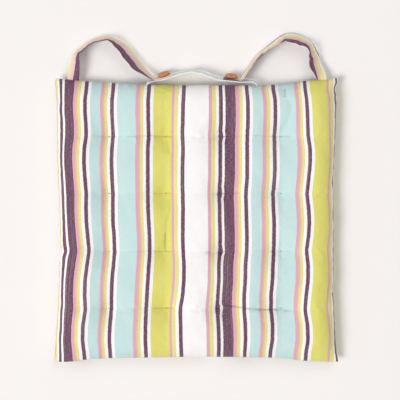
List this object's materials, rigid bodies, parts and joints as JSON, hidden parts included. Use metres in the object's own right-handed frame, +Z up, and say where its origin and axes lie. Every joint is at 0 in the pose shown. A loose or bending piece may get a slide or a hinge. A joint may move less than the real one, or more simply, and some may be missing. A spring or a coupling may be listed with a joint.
{
  "type": "chair seat pad",
  "caption": "Square tufted cotton seat cushion with striped cover and two buttoned tie straps along its rear edge.",
  "frame": {"origin": "middle of the pad on its flat underside, at the height of the seat it lies on", "axes": "+X to the right, +Y towards the rear edge with the tie straps, +Z up"},
  "size_m": [0.4, 0.4634, 0.04],
  "materials": {
    "striped_cotton": "woven stripe, matt",
    "pale_cotton": "woven, matt",
    "wadding": "soft fibre",
    "thread": "matt sewing thread",
    "button_wood": "satin varnish"
  },
  "bodies": {
    "cushion": {"cover_top": "striped_cotton", "cover_bottom": "striped_cotton", "wadding": "wadding", "perimeter_seam_thread": "thread", "tuft_tie_1_1": "thread", "tuft_tie_1_2": "thread", "tuft_tie_1_3": "thread", "tuft_tie_1_4": "thread", "tuft_tie_2_1": "thread", "tuft_tie_2_2": "thread", "tuft_tie_2_3": "thread", "tuft_tie_2_4": "thread", "tuft_tie_3_1": "thread", "tuft_tie_3_2": "thread", "tuft_tie_3_3": "thread", "tuft_tie_3_4": "thread", "tuft_tie_4_1": "thread", "tuft_tie_4_2": "thread", "tuft_tie_4_3": "thread", "tuft_tie_4_4": "thread"},
    "right_strap": {"strap_right": "striped_cotton", "buttonhole_stitching_right": "thread"},
    "left_strap": {"strap_left": "striped_cotton", "buttonhole_stitching_left": "thread"},
    "band": {"button_band": "pale_cotton", "button_left": "button_wood", "button_thread_left": "thread", "button_right": "button_wood", "button_thread_right": "thread"}
  },
  "joints": [
    {"name": "right_strap_swing", "type": "hinge", "parent": "cushion", "child": "right_strap", "pos_m": [0.1745, 0.194, 0.015], "axis": [1, 0, 0], "range_deg": [-80, 40]},
    {"name": "left_strap_swing", "type": "hinge", "parent": "cushion", "child": "left_strap", "pos_m": [-0.1725, 0.194, 0.015], "axis": [1, 0, 0], "range_deg": [-80, 40]},
    {"name": "band_swing", "type": "hinge", "parent": "cushion", "child": "band", "pos_m": [0.0075, 0.194, 0.015], "axis": [1, 0, 0], "range_deg": [-80, 40]}
  ],
  "couplings": [
    {"joint": "left_strap_swing", "follows": "right_strap_swing", "ratio": 1},
    {"joint": "band_swing", "follows": "right_strap_swing", "ratio": 1}
  ]
}
